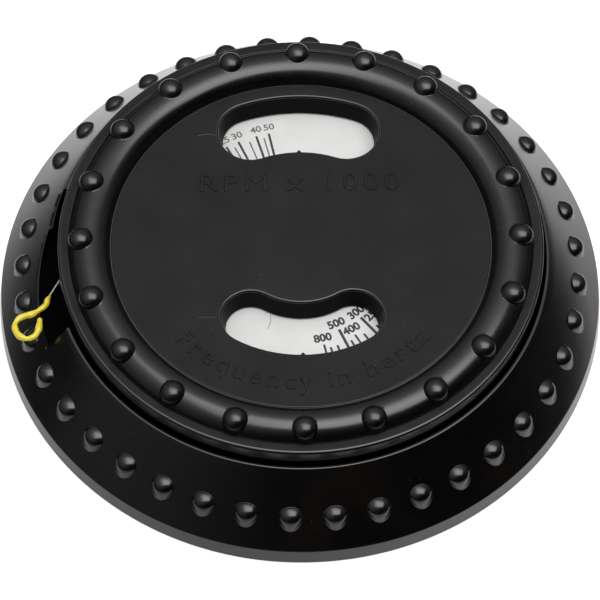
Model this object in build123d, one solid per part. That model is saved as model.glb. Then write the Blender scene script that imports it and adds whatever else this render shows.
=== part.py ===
"""Pocket resonant-wire tachometer.

A round moulded base holds a coiled spring-steel wire. A dial cap turns in the base and pushes the
wire out through a slot, and the free length of the wire is read on a scale through two windows.
Origin: centre of the underside. +Z is up, the wire leaves towards -X and -Y. Millimetres, degrees.
"""
import math
import os

from build123d import *

# Dial cap, from the middle outwards
FACE_MARGIN = 1.6          # flat sunk face beyond the outer window
FACE_GROOVE = 0.15         # thin groove round the face
RIM_W = 4.7                # width of the round rim at its foot
LEDGE_W = 1.3              # flat ledge outside the rim
FACE_STEP = 0.15           # how far the face stands above its groove
LEDGE_STEP = 0.2           # how far the ledge stands above the face
RIM_RISE = 1.5             # how far the rim's crest stands above the ledge
CAP_T = 2.63               # from the underside to the face
EDGE = 0.15                # small bevel on moulded edges
LEDGE_EDGE = 0.3           # bevel on the ledge's outer edge

# Grip beads
CAP_BEADS = 20
CAP_BEAD_R = 1.45          # a bead on the cap at its widest
CAP_BEAD_RISE = 1.25       # its flattened round top, above that
CAP_BEAD_OUT = 1.0         # how far the beads stand outside the rim's crest line
CAP_BEAD_SINK = 0.46       # how far the widest place lies below the crest
CAP_BEAD_ANGLE = 2.0       # draft of a bead's foot
CAP_TURN_ANGLE = 1.76      # the cap's angle at rest
BASE_BEADS = 40
BASE_BEAD_R = 1.4
BASE_BEAD_RISE = 1.08
BASE_BEAD_DOWN = 3.1       # from the lip to the bead ring, across the flank
BASE_BEAD_SINK = 0.77      # how far the widest place lies below the flank
BASE_BEAD_ANGLE = 2.0
BASE_TURN_ANGLE = 7.82     # where the first bead stands

# Windows in the cap: inner radius, width and half the angle between the end centres, at the face
RPM_WINDOW_IN = 12.6
RPM_WINDOW_W = 7.6
RPM_HALF_ANGLE = 19.75
HERTZ_WINDOW_IN = 7.98
HERTZ_WINDOW_W = 6.8
HERTZ_HALF_ANGLE = 31.0
WINDOW_DRAFT_ANGLE = 12.0  # the walls close in towards the scale
WINDOW_BEVEL = 0.25
POINTER_W = 0.85
POINTER_H = 0.42
POINTER_T = 1.2

# Base
SKIRT_GAP = 0.33           # between the cap's skirt and the base
SKIRT_LIFT = 0.3           # between the skirt's lower edge and the land
SKIRT_STEP = 0.35          # between the scale disc's edge and the skirt's inner step
LIP_W = 0.4
LIP_H = 1.85               # lip above the land that the skirt runs over
FLANK_RUN = 6.15           # from the lip out to the upright rim, seen from above
RIM_H = 2.3                # upright rim at the table
RIM_DRAFT = 0.2
FLOOR_Z = 8.15             # floor of the wire channel
LAND_H = 0.5               # land round the wire channel, above the floor
FOOT_W = 3.6               # flat ring that the part rests on
UNDER_RECESS = 0.6         # underside inside that ring

# Pivot
PIVOT_R = 4.0              # stem of the cap
PIVOT_GAP = 0.05
WEB_T = 4.82               # base thickness that the stem turns in
WELL_R = 7.4               # recess for screw and washers
SPRING_H = 0.85            # conical spring washer, squeezed
SPRING_T = 0.3
WASHER_R = 6.4
WASHER_T = 0.6
SCREW_R = 1.25
SCREW_HEAD_R = 2.7
SCREW_HEAD_H = 1.3
SCREW_SLOT_W = 0.6
SCREW_SLOT_D = 0.7
INSERT_WALL = 0.95
INSERT_L = 4.2
SEAT_GAP = 0.02            # between pieces that are pressed or glued together

# Scale disc and end stop
SCALE_SEAT = 0.92          # round seat of the scale disc, above the channel floor
SCALE_T = 0.5
SCALE_GAP = 0.3            # between the scale and the cap
SCALE_MARGIN = 1.1         # scale beyond the outer window
STOP_PIN_R = 0.75
STOP_OUT = 2.0             # stop pin's centre outside the stem
STOP_PIN_DEPTH = 3.0
STOP_PIN_ABOVE = 1.2       # into the cap's groove
STOP_GAP = 0.1
STOP_ANGLE = 200.0         # where the pin stands
DIAL_TRAVEL_ANGLE = 300.0  # how far the dial turns

# Wire
REED_D = 0.3
REED_OUT = 2.05            # wire circle outside the scale disc
REED_LIFT = 0.1            # wire above the floor
REED_SIDE = 0.25           # wire to the land
EXIT_ANGLE = 153.0         # where the wire leaves its circle, straight on
REED_WOUND_ANGLE = 318.0   # angle that the wound wire covers at rest
REED_JOIN = 0.1            # where the wound wire meets the straight wire
ANCHOR_H = 2.0             # wire's hooked end in the cap
ANCHOR_GAP = 0.05
BARE_L = 18.0              # from leaving the circle to the paint
CHANNEL_W = 0.6
GUIDE_START = 7.6          # brass guide, along the straight wire
GUIDE_L = 2.4
GUIDE_W = 1.5
GUIDE_BELOW = 0.8          # guide below the floor
GUIDE_BORE_GAP = 0.05

# Painted eye at the wire's end, followed from the bare wire on
PAINT_R = 0.35
PAINT_TAPER = 0.9
EYE_LEAD = 1.2
EYE_BEND_R = 2.0
EYE_BEND_ANGLE = 43.0
EYE_NECK = 1.1
EYE_R = 1.45
EYE_TURN_ANGLE = 292.0

# Slot in the base where the wire comes out
SLOT_BELOW = 0.55          # slot floor below the channel floor
SLOT_IN = 0.5              # slot's inner wall inside the end of the guide
SLOT_START_ANGLE = 163.5
SLOT_STEP_ANGLE = 174.0
SLOT_END_ANGLE = 201.7
SLOT_LIP_CUT = 0.2         # first stretch, outside the lip
SLOT_FIRST_OUT = 0.75      # outer wall outside the lip where the second stretch starts
SLOT_MID_OUT = 1.75        # the same at its middle
SLOT_LAST_OUT = 2.4        # the same at its end

# Worked out from the sizes above
face_r = RPM_WINDOW_IN + RPM_WINDOW_W + FACE_MARGIN
rim_in = face_r + FACE_GROOVE
rim_out = rim_in + RIM_W
crest_r = (rim_in + rim_out) / 2
skirt_r = rim_out + LEDGE_W
bore_r = skirt_r + SKIRT_GAP
lip_r = bore_r + LIP_W
rim_top_r = lip_r + FLANK_RUN
base_r = rim_top_r + RIM_DRAFT

seat_z = FLOOR_Z + SCALE_SEAT
scale_top = seat_z + SCALE_T
cap_under = scale_top + SCALE_GAP
land_z = FLOOR_Z + LAND_H
skirt_z = land_z + SKIRT_LIFT
lip_z = land_z + LIP_H
face_z = cap_under + CAP_T
ledge_z = face_z + LEDGE_STEP
crest_z = ledge_z + RIM_RISE
slot_z = FLOOR_Z - SLOT_BELOW

scale_r = RPM_WINDOW_IN + RPM_WINDOW_W + SCALE_MARGIN
stop_r = PIVOT_R + STOP_OUT
reed_r = scale_r + REED_OUT
step_r = scale_r + SKIRT_STEP
reed_z = FLOOR_Z + REED_D / 2 + REED_LIFT
land_in = reed_r + REED_D / 2 + REED_SIDE

well_z = seat_z - WEB_T
stem_z = well_z - SPRING_H
washer_z = stem_z - WASHER_T
insert_r = SCREW_R + INSERT_WALL

# The straight wire as a plane: origin where it leaves the circle, X along the wire, Y inwards
exit_way = Vector(-math.sin(math.radians(EXIT_ANGLE)), math.cos(math.radians(EXIT_ANGLE)), 0)
exit_point = Vector(reed_r, 0, reed_z).rotate(Axis.Z, EXIT_ANGLE)
exit_plane = Plane(origin=exit_point, x_dir=exit_way, z_dir=(0, 0, 1))
guide_end_r = math.hypot(reed_r, GUIDE_START + GUIDE_L)
slot_in = guide_end_r - SLOT_IN


def at(radius, angle):
    """Point in plan at a radius and an angle."""
    return radius * math.cos(math.radians(angle)), radius * math.sin(math.radians(angle))


def flank_z(radius):
    """Height of the base's sloping flank at a radius."""
    return lip_z - (lip_z - RIM_H) * (radius - lip_r) / FLANK_RUN


def lathe(*curves):
    """Solid turned about Z from the curves of a half section, X as radius and Y as height."""
    return revolve(Plane.XZ * make_face(Curve() + list(curves)), Axis.Z)


def tube(radius, low, high, bore=0.0):
    """Upright cylinder, with a bore if one is given."""
    ring = Circle(radius) - Circle(bore) if bore else Circle(radius)
    return extrude(Pos(0, 0, low) * ring, high - low)


def bead(top_r, rise, draft, depth):
    """Grip bead: a flattened round top on a drafted foot, its widest place at the origin."""
    foot_r = top_r + depth * math.tan(math.radians(draft))
    dome = EllipticalCenterArc((0, 0), top_r, rise, start_angle=0, arc_size=90)
    return lathe(dome, Polyline((top_r, 0), (foot_r, -depth), (0, -depth), (0, rise)))


def bead_ring(shape, radius, count, turn, height):
    """Copies of a bead on a circle."""
    return [Pos(0, 0, height) * place * shape for place in PolarLocations(radius, count, turn)]


def window(inner, width, half, middle):
    """Kidney-shaped outline with round ends."""
    spine = CenterArc((0, 0), inner + width / 2, middle - half, 2 * half)
    return SlotArc(spine, width)


def pointer(radius, middle, outwards):
    """Small triangular pointer on a window's edge."""
    tip = POINTER_H if outwards else -POINTER_H
    root = -EDGE if outwards else EDGE
    flat = Polygon((root, -POINTER_W / 2), (root, POINTER_W / 2), (tip, 0), align=None)
    mark = extrude(Pos(radius, 0, face_z - WINDOW_BEVEL - POINTER_T) * flat, POINTER_T)
    return Rot(0, 0, middle) * mark


def make_cap():
    """Dial cap: sunk face, round beaded rim, ledge, skirt, windows and the stem that it turns on."""
    quirk = EDGE
    body = lathe(
        Polyline((rim_out, ledge_z - quirk), (rim_out + quirk, ledge_z), (skirt_r - LEDGE_EDGE, ledge_z),
                 (skirt_r, ledge_z - LEDGE_EDGE), (skirt_r, skirt_z), (step_r, skirt_z),
                 (step_r, cap_under), (0, cap_under), (0, face_z),
                 (face_r - EDGE / 2, face_z), (face_r, face_z - EDGE / 2),
                 (face_r, face_z - FACE_STEP), (rim_in, face_z - FACE_STEP)),
        ThreePointArc((rim_in, face_z - FACE_STEP), (crest_r, crest_z), (rim_out, ledge_z - quirk)),
    )
    bead_z = crest_z - CAP_BEAD_SINK
    foot = bead_z - ledge_z + 2 * quirk
    shape = bead(CAP_BEAD_R, CAP_BEAD_RISE, CAP_BEAD_ANGLE, foot)
    body += bead_ring(shape, crest_r + CAP_BEAD_OUT, CAP_BEADS, CAP_TURN_ANGLE, bead_z)

    rpm = window(RPM_WINDOW_IN, RPM_WINDOW_W, RPM_HALF_ANGLE, 90 + CAP_TURN_ANGLE)
    hertz = window(HERTZ_WINDOW_IN, HERTZ_WINDOW_W, HERTZ_HALF_ANGLE, CAP_TURN_ANGLE - 90)
    for opening in (rpm, hertz):
        body -= extrude(Pos(0, 0, face_z) * opening, -CAP_T - 1, taper=WINDOW_DRAFT_ANGLE)
    mouths = body.edges().filter_by_position(Axis.Z, face_z - 0.01, face_z + 0.01)
    body = chamfer([e for e in mouths if e.length < 2 * math.pi * face_r * 0.9], WINDOW_BEVEL)
    body += pointer(RPM_WINDOW_IN, 90 + CAP_TURN_ANGLE, True)
    body += pointer(HERTZ_WINDOW_IN + HERTZ_WINDOW_W, CAP_TURN_ANGLE - 90, False)

    body += tube(PIVOT_R, stem_z, cap_under)
    body -= tube(insert_r + SEAT_GAP, stem_z, stem_z + INSERT_L)
    body -= tube(SCREW_R + PIVOT_GAP, stem_z + INSERT_L, stem_z + INSERT_L + SCREW_R)

    half_pin = math.degrees((STOP_PIN_R + STOP_GAP) / stop_r)
    track = CenterArc((0, 0), stop_r, STOP_ANGLE - DIAL_TRAVEL_ANGLE, DIAL_TRAVEL_ANGLE)
    groove = SlotArc(track, 2 * (STOP_PIN_R + STOP_GAP))
    body -= extrude(Pos(0, 0, cap_under) * groove, STOP_PIN_ABOVE + STOP_GAP)

    hook = Pos(*at(reed_r, EXIT_ANGLE - REED_WOUND_ANGLE), skirt_z)
    body -= hook * extrude(Circle(REED_D / 2 + ANCHOR_GAP), reed_z + ANCHOR_H + ANCHOR_GAP - skirt_z)
    return body


def make_slot():
    """Space that the wire comes out through, cut through the land, the lip and the flank."""
    high = lip_z + 1 - slot_z
    first = Polyline(at(slot_in, SLOT_START_ANGLE), at(lip_r + SLOT_LIP_CUT, SLOT_START_ANGLE),
                     at(lip_r + SLOT_LIP_CUT, SLOT_STEP_ANGLE), at(slot_in, SLOT_STEP_ANGLE),
                     at(slot_in, SLOT_START_ANGLE))
    middle = (SLOT_STEP_ANGLE + SLOT_END_ANGLE) / 2
    outer = ThreePointArc(at(lip_r + SLOT_FIRST_OUT, SLOT_STEP_ANGLE), at(lip_r + SLOT_MID_OUT, middle),
                          at(lip_r + SLOT_LAST_OUT, SLOT_END_ANGLE))
    inner = ThreePointArc(at(slot_in, SLOT_STEP_ANGLE), at(slot_in, middle), at(slot_in, SLOT_END_ANGLE))
    ends = [Line(inner @ 0, outer @ 0), Line(outer @ 1, inner @ 1)]
    second = make_face(Curve() + [outer, inner] + ends)
    return extrude(Pos(0, 0, slot_z) * (make_face(first) + second), high)


def make_base():
    """Base: upright rim, beaded flank, lip, scale seat, wire channel, slot and underside."""
    outside = lathe(Polyline(
        (0, UNDER_RECESS), (base_r - FOOT_W, UNDER_RECESS), (base_r - FOOT_W, 0), (base_r, 0),
        (rim_top_r, RIM_H - EDGE), (rim_top_r - EDGE, RIM_H + EDGE), (lip_r, lip_z - EDGE),
        (lip_r - EDGE, lip_z), (bore_r + EDGE, lip_z), (bore_r, lip_z - EDGE), (bore_r, land_z),
        (land_in, land_z), (land_in, FLOOR_Z), (scale_r, FLOOR_Z), (scale_r, seat_z), (0, seat_z),
        (0, UNDER_RECESS)))
    ring_r = lip_r + BASE_BEAD_DOWN
    bead_z = flank_z(ring_r) - BASE_BEAD_SINK
    foot = bead_z - flank_z(ring_r + BASE_BEAD_R) + 2 * EDGE
    shape = bead(BASE_BEAD_R, BASE_BEAD_RISE, BASE_BEAD_ANGLE, foot)
    body = outside + bead_ring(shape, ring_r, BASE_BEADS, BASE_TURN_ANGLE, bead_z)

    body -= tube(PIVOT_R + PIVOT_GAP, well_z - 1, seat_z + 1)
    body -= tube(WELL_R, 0, well_z)
    pin_seat = Pos(*at(stop_r, STOP_ANGLE), 0)
    body -= pin_seat * tube(STOP_PIN_R + SEAT_GAP, seat_z - STOP_PIN_DEPTH, seat_z + 1)

    body -= make_slot()
    channel = Box(GUIDE_START, CHANNEL_W, land_z + 1 - FLOOR_Z, align=(Align.MIN, Align.CENTER, Align.MIN))
    body -= exit_plane.location * Pos(0, 0, FLOOR_Z - reed_z) * channel
    body -= guide_block(land_z + 1)
    return body


def guide_block(top):
    """Outside of the brass guide, up to a height."""
    block = Box(GUIDE_L, GUIDE_W, top - FLOOR_Z + GUIDE_BELOW, align=(Align.MIN, Align.CENTER, Align.MIN))
    return exit_plane.location * Pos(GUIDE_START, 0, FLOOR_Z - GUIDE_BELOW - reed_z) * block


def make_guide():
    """Brass block with the hole that grips the wire where its free length starts."""
    bore = Cylinder(REED_D / 2 + GUIDE_BORE_GAP, 3 * GUIDE_L, rotation=(0, 90, 0))
    return guide_block(land_z) - exit_plane.location * Pos(GUIDE_START, 0, 0) * bore


def make_scale():
    """White scale disc with its hole for the stem and the one for the stop pin."""
    disc = tube(scale_r, seat_z, scale_top, PIVOT_R + SCALE_GAP)
    pin_hole = Pos(*at(stop_r, STOP_ANGLE), 0) * tube(STOP_PIN_R + PIVOT_GAP, 0, face_z)
    return disc - pin_hole


def make_stop_pin():
    """Steel dowel with a bevelled top."""
    pin = tube(STOP_PIN_R, seat_z - STOP_PIN_DEPTH, cap_under + STOP_PIN_ABOVE)
    pin = chamfer(pin.edges().group_by(Axis.Z)[-1], EDGE)
    return Pos(*at(stop_r, STOP_ANGLE), 0) * pin


def make_coil():
    """Wound wire in the channel, with its inner end hooked up into the cap."""
    start = EXIT_ANGLE - REED_WOUND_ANGLE
    turn = REED_WOUND_ANGLE - math.degrees(REED_JOIN / reed_r)
    section = Plane(origin=(reed_r, 0, reed_z), x_dir=(1, 0, 0), z_dir=(0, -1, 0)) * Circle(REED_D / 2)
    wound = Rot(0, 0, start) * revolve(section, Axis.Z, turn)
    corner = Pos(*at(reed_r, start), reed_z)
    return wound + corner * Sphere(REED_D / 2) + corner * extrude(Circle(REED_D / 2), ANCHOR_H)


def make_tip():
    """Bare wire from its circle to the paint."""
    return exit_plane.location * Pos(BARE_L / 2, 0, 0) * Cylinder(REED_D / 2, BARE_L, rotation=(0, 90, 0))


def make_marker():
    """Painted eye: a tapered start, a bend away from the slot and one open turn."""
    taper = Pos(BARE_L + PAINT_TAPER / 2, 0, 0) * Cone(
        REED_D / 2, PAINT_R, PAINT_TAPER, rotation=(0, 90, 0))
    start = BARE_L + PAINT_TAPER
    lead = Line((start, 0), (start + EYE_LEAD, 0))
    bend = JernArc(lead @ 1, lead % 1, EYE_BEND_R, -EYE_BEND_ANGLE)
    neck = Line(bend @ 1, bend @ 1 + EYE_NECK * (bend % 1))
    eye = JernArc(neck @ 1, neck % 1, EYE_R, EYE_TURN_ANGLE)
    path = Curve() + [lead, bend, neck, eye]
    section = Plane(origin=(start, 0, 0), x_dir=(0, 1, 0), z_dir=(1, 0, 0)) * Circle(PAINT_R)
    end = eye @ 1
    wire = sweep(section, path=path.wires()[0]) + Pos(end.X, end.Y, 0) * Sphere(PAINT_R)
    return exit_plane.location * (taper + wire)


def make_insert():
    """Brass threaded insert in the stem."""
    return tube(insert_r, stem_z, stem_z + INSERT_L, SCREW_R + SEAT_GAP)


def make_screw():
    """Slotted pan-head screw from below."""
    head = tube(SCREW_HEAD_R, washer_z - SCREW_HEAD_H, washer_z)
    head = fillet(head.edges().group_by(Axis.Z)[0], SCREW_HEAD_H / 2)
    slot = Pos(0, 0, washer_z - SCREW_HEAD_H) * Box(
        3 * SCREW_HEAD_R, SCREW_SLOT_W, SCREW_SLOT_D, align=(Align.CENTER, Align.CENTER, Align.MIN))
    return head - slot + tube(SCREW_R, washer_z, stem_z + INSERT_L)


def make_spring():
    """Conical spring washer round the stem: its wide edge on the washer, its narrow edge upwards."""
    inner = PIVOT_R + 3 * PIVOT_GAP
    rise = SPRING_H - SPRING_T - PIVOT_GAP
    return lathe(Polyline((inner, stem_z + rise), (WASHER_R, stem_z), (WASHER_R, stem_z + SPRING_T),
                          (inner, stem_z + rise + SPRING_T), (inner, stem_z + rise)))


nodes = {
    "base_housing": make_base,
    "dial_cap": make_cap,
    "scale_disc": make_scale,
    "stop_pin": make_stop_pin,
    "exit_guide": make_guide,
    "reed_coil": make_coil,
    "reed_tip": make_tip,
    "marker_loop": make_marker,
    "pivot_insert": make_insert,
    "pivot_screw": make_screw,
    "pivot_washer": lambda: tube(WASHER_R, washer_z, stem_z, SCREW_R + PIVOT_GAP),
    "spring_washer": make_spring,
}

os.makedirs("parts", exist_ok=True)
for name, make in nodes.items():
    solid = make()
    export_step(solid, f"parts/{name}.step")
    print(name, round(solid.volume, 3), [round(v, 2) for v in solid.bounding_box().size])
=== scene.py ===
"""Looks of the small engine tachometer, in the frame of its solids. Metres, +Z up.

Lengths are named in millimetres and angles in degrees; MM scales a mesh where it is made.
"""

import math

import bmesh
import bpy
import numpy as np
from mathutils import Matrix, Vector


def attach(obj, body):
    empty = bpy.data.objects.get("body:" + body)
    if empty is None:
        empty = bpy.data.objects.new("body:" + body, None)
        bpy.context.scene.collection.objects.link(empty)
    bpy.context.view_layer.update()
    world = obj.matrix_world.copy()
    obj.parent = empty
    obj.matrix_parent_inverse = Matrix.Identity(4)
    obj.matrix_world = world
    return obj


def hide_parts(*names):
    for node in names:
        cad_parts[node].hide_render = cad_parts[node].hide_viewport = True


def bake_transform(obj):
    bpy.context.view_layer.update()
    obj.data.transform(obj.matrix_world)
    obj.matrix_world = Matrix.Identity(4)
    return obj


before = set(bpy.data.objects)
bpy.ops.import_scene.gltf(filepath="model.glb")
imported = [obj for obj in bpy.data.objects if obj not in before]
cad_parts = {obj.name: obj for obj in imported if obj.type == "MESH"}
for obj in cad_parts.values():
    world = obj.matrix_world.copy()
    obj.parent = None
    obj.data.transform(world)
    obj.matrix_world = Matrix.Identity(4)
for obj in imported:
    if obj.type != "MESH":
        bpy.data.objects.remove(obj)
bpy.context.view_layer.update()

MM = 0.001
SAME = 1e-6             # two lengths closer than this are one

# Levels and radii shared with the solids
BASE_R = 35.03
RIM_TOP_R = 34.83
RIM_H = 2.3
LIP_R = 28.68
BORE_R = 28.28
LIP_Z = 10.5
LAND_Z = 8.65
LAND_IN = 23.75
FLOOR_Z = 8.15
FOOT_W = 3.6
RECESS_Z = 0.6
SEAT_Z = 9.07
SCALE_R = 21.3
SCALE_TOP = 9.57
SKIRT_Z = 8.95
STEP_R = 21.65
CAP_UNDER = 9.87
FACE_Z = 12.5
FACE_STEP = 0.15
LEDGE_Z = 12.7
CREST_Z = 14.2
FACE_R = 21.8
RIM_IN = 21.95
RIM_OUT = 26.65
SKIRT_R = 27.95
CREST_R = 24.3
STEM_R = 4.0
STEM_Z = 3.4
STEM_BORE_R = 4.05
WELL_R = 7.4
WELL_Z = 4.25
CAP_TURN = 1.76
NORTH = 90 + CAP_TURN   # the speed window's pointer
SOUTH = CAP_TURN - 90   # the frequency window's pointer

# Stop pin, insert, screw and wire, also shared with them
SEAT_GAP = 0.02
STOP_R = 6.0
STOP_ANGLE = 200.0
STOP_PIN_R = 0.75
STOP_PIN_DEPTH = 3.0
STOP_GAP = 0.1
GROOVE_DEPTH = 1.3
TRAVEL = 300.0
INSERT_BORE_R = 2.22
INSERT_DEPTH = 4.2
PILOT_R = 1.3
PILOT_DEPTH = 5.45
WIRE_R = 23.35
WIRE_Z = 8.4
WIRE_D = 0.3
WOUND_ANGLE = 318.0
HOOK_BORE_R = 0.2
HOOK_H = 2.05
EXIT_ANGLE = 153.0
BARE_L = 18.0
GUIDE_START = 7.6
GUIDE_L = 2.4
GUIDE_W = 1.5
GUIDE_BELOW = 0.8
CHANNEL_W = 0.6
CHANNEL_OVER = 0.1      # it runs this far into the guide's pocket
CHANNEL_LIFT = 0.002    # its floor lies this much above the ring channel's

# Slot that the wire comes out through
SLOT_Z = 7.6
SLOT_IN = 24.9
SLOT_START = 163.5
SLOT_STEP = 174.0
SLOT_STEP_RUN = 0.05    # angle over which the outer wall steps out
SLOT_END = 201.7
SLOT_LIP_CUT = 0.2      # outside the lip, up to the step
SLOT_OUT = (0.75, 1.75, 2.4)  # outside the lip at the step, half way and at the end
SLOT_BEVEL = 0.14

# Grip beads
CAP_BEADS = 20
CAP_RING_R = 25.3
CAP_BEAD_R = 1.45
CAP_BEAD_RISE = 1.25
CAP_BEAD_Z = 13.74
CAP_DRAFT = 2.0
CAP_FOOT_BLEND = 0.3    # how softly a cap bead's foot runs into the rim
CAP_FOOT_SINK = 0.004   # how far its border lies inside the rim
CAP_BEAD_REACH = 2.1    # its mesh ends nearer to its axis
CAP_BEAD_ROOT = 12.0    # its underside, inside the moulding
BASE_BEADS = 40
BASE_RING_R = 31.78
BASE_BEAD_R = 1.48
BASE_BEAD_RISE = 1.18
BASE_BEAD_SINK = 0.8
BASE_DRAFT = 4.0
BASE_TURN = 7.82
BEAD_BAND = 2.3         # half width of the flank's band that carries the beads
FOOT_BLEND = 0.32       # how softly a base bead's foot runs into the flank below it
CREASE_BLEND = 0.05     # and above it, where the bead meets the flank in a sharp crease

# Mesh rows of a base bead, from its axis to its crease and from there to its cell's border
BEAD_STEPS = np.sin(np.linspace(0, math.pi / 2, 18))
FLANK_STEPS = np.linspace(0, 1, 13)[1:] ** 2
BEAD_SAMPLES = 1500     # points at which a base bead's section is worked out
CAP_BEAD_SAMPLES = 420
CAP_BEAD_ROWS = 26
CAP_BEAD_COLUMNS = 72
BEND_WEIGHT = 0.55      # how strongly rows gather where a section bends
AROUND = 480            # mesh steps round the base and the cap

# Cap's rim and windows; a window is its inner radius, width, half angle and middle, at its mouth
RIM_QUIRK = 0.1         # step at the rim's foot towards the ledge
BEAD_QUIRK = 0.15       # the same below the beads, whose feet start a little inside the rim
RIM_STEPS = 40
RPM_WINDOW = (12.35, 8.1, 19.75, NORTH)
HERTZ_WINDOW = (7.73, 7.3, 31.0, SOUTH)
WINDOW_DRAFT = 12.0
MOUTH_R = 0.25          # rounded edge of a window
MOUTH_STEPS = 6
RPM_POINTER_R = 12.55
HERTZ_POINTER_R = 14.83
POINTER_HALF = 0.425
POINTER_TIP = 0.42
POINTER_ROOT = 0.3
POINTER_T = 1.2
POINTER_EASE = 0.06

# Print on the scale: the speed row outside its ring and the frequency row inside
PRINT_CENTRE = (-0.07, 0.0)
PRINT_FIRST = 11.22     # angle of the fastest mark from a pointer
PRINT_SPAN = 300.2
FASTEST = 50            # thousand revolutions a minute
THOUSANDS_PER_HERTZ = 0.06
PRINT_Z = SCALE_TOP + 0.012
PRINT_ROOT = SCALE_TOP - 0.02
PRINT_RING = 13.5
RPM_LONG = 17.35        # where the numbered speed marks end
RPM_SHORT = 16.84
RPM_LONG_W = 0.27
RPM_SHORT_W = 0.18
RPM_MAJOR = (50, 40, 30, 25, 20, 15, 12, 10, 8, 7, 6, 5, 4, 3, 2.5, 2, 1.6, 1.4, 1.2, 1, 0.9)
RPM_MINOR = (45, 35, 27.5, 22.5, 17.5, 13.5, 11, 9, 7.5, 6.5, 5.5, 4.5, 3.5, 2.75, 2.25, 1.8, 1.5, 1.3,
             1.1, 0.95)
RPM_TEXT_R = 18.27
RPM_TEXT_TURN = 0.4     # its numbers stand this angle before their marks
RPM_TEXT_H = 0.85
RPM_TEXT_STRETCH = 1.15
RPM_TEXT_WEIGHT = 0.02
LONG, MIDDLE, SHORT = 10.7, 12.15, 12.65  # where a frequency mark starts
HERTZ = (
    (800, 12.11), (700, 12.61), (600, 12.61), (500, 10.74), (450, 12.63), (400, 12.20), (350, 12.66),
    (300, LONG), (275, SHORT), (250, MIDDLE), (225, SHORT), (200, LONG), (175, SHORT), (150, MIDDLE),
    (125, SHORT), (100, LONG), (90, SHORT), (80, MIDDLE), (70, SHORT), (60, MIDDLE), (50, LONG),
    (45, SHORT), (40, MIDDLE), (35, SHORT), (30, LONG), (25, MIDDLE), (22, SHORT), (20, LONG),
    (18, SHORT), (16, MIDDLE), (15, SHORT), (14, SHORT))
HERTZ_LONG_LIMIT = 11.0  # marks that start inside this radius are wide
HERTZ_TEXT_LIMIT = 12.4  # and inside this one they carry a number
HERTZ_LONG_W = 0.33
HERTZ_SHORT_W = 0.26
HERTZ_TEXT_GAP = 0.95
HERTZ_TEXT_TURN = 0.1
HERTZ_TEXT_H = 1.08
HERTZ_TEXT_WEIGHT = 0.04

# Raised words on the face
RELIEF_H = 0.12
SPEED_WORDS_AT = (0, 8.35)
SPEED_WORDS_H = 2.35
SPEED_WORDS_W = 23.0
FREQUENCY_WORDS_AT = (18.35, SOUTH)  # radius and angle
FREQUENCY_WORDS_H = 2.2
FREQUENCY_WORDS_W = 31.0

# Painted eye: its centre line in plan, its thickness and how that swells along the line
LOOP = [(-28.80, -5.17), (-29.05, -5.66), (-29.24, -6.38), (-30.09, -7.15), (-30.80, -7.63),
        (-31.59, -7.87), (-32.31, -8.31), (-32.64, -8.98), (-32.61, -9.63), (-32.23, -10.38),
        (-31.64, -10.79), (-30.99, -10.87), (-30.36, -10.53), (-29.99, -9.87), (-29.86, -9.11),
        (-29.82, -8.08)]
PAINT_R = 0.35
PAINT_LONG_SWELL = 0.045
PAINT_SHORT_SWELL = 0.03
PAINT_START = 0.45      # share of the thickness at the bare wire
PAINT_RUN = 1.6         # length over which that share grows by one
PAINT_END_R = 0.36
PATH_STEPS = 24         # points between two given points of a smooth path

# Marks of wear and dirt, in plan
SCRATCH_UPPER = [(-12.3, 14.5), (-11.2, 14.75), (-10.0, 14.6)]
SCRATCH_LOWER = [(-11.5, -10.2), (-10.4, -10.1), (-9.5, -10.15)]
HAIR = [(-3.36, -7.92), (-3.31, -8.64), (-3.43, -9.28), (-3.73, -9.88)]
SCRATCH_R = 0.035
HAIR_R = 0.03
HAIR_LIFT = 0.01

# Light, in metres: nested panels overhead as left, right, near and far edge
SOFTBOX_PANELS = ((0.0, 0.52, -0.32, 0.06), (-0.1, 0.58, -0.35, 0.14), (-0.2, 0.64, -0.38, 0.22),
                  (-0.29, 0.7, -0.41, 0.30), (-0.38, 0.76, -0.44, 0.38))
SOFTBOX_Z = 0.8
SOFTBOX_STEP = 0.001    # between one panel and the next
SOFTBOX_RADIANCE = 0.62

# Dim room: brightness by height over the horizon, times brightness by side
WORLD_BY_HEIGHT = ((0.0, 0.14), (0.26, 0.2), (0.42, 0.26), (0.57, 0.35), (0.7, 0.48), (0.82, 0.65),
                   (0.95, 1.0))
WORLD_BY_SIDE = ((0.05, 0.1), (0.15, 0.16), (0.25, 0.4), (0.42, 0.85), (0.7, 1.2))
WORLD_SIDE = (-0.3, 0.4, 0)
WORLD_MIDDLE = 0.5

# Table, in metres, and the painted pool of light that its mirror image shows, bright near the object and dark
# further off, by distance in decimetres
TABLE_HALF = 3.0
TABLE_GLOW = 0.6
POOL_CENTRE = (0.004, 0.008, 0)
PAINTED_POOL = ((0.34, 0.75), (0.42, 0.70), (0.455, 0.5), (0.5, 0.28), (0.56, 0.14), (0.66, 0.06), (0.9, 0.03))
POOL_PER_METRE = 10.0
PAINTED_POOL_GLOW = 0.5

# Camera, in metres and millimetres of lens; it looks at the origin
CAMERA = Vector((0, -0.3284, 0.5387))
CAMERA_ROLL = 0.904
CAMERA_LENS = 323.7
CAMERA_SENSOR = 36
CAMERA_CLIP = 0.05


# Mesh helpers
def polar(radius, angle):
    """Point in plan at a radius and an angle in degrees."""
    return radius * math.cos(math.radians(angle)), radius * math.sin(math.radians(angle))


def circle(radius, steps, centre=(0.0, 0.0)):
    """Round outline in plan."""
    rays = [polar(radius, 360 * k / steps) for k in range(steps)]
    return [(centre[0] + x, centre[1] + y) for x, y in rays]


def rotate(x, y, angle):
    """Coordinates, as numbers or arrays, turned about the axis by an angle in degrees."""
    a = math.radians(angle)
    return x * math.cos(a) - y * math.sin(a), x * math.sin(a) + y * math.cos(a)


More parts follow.
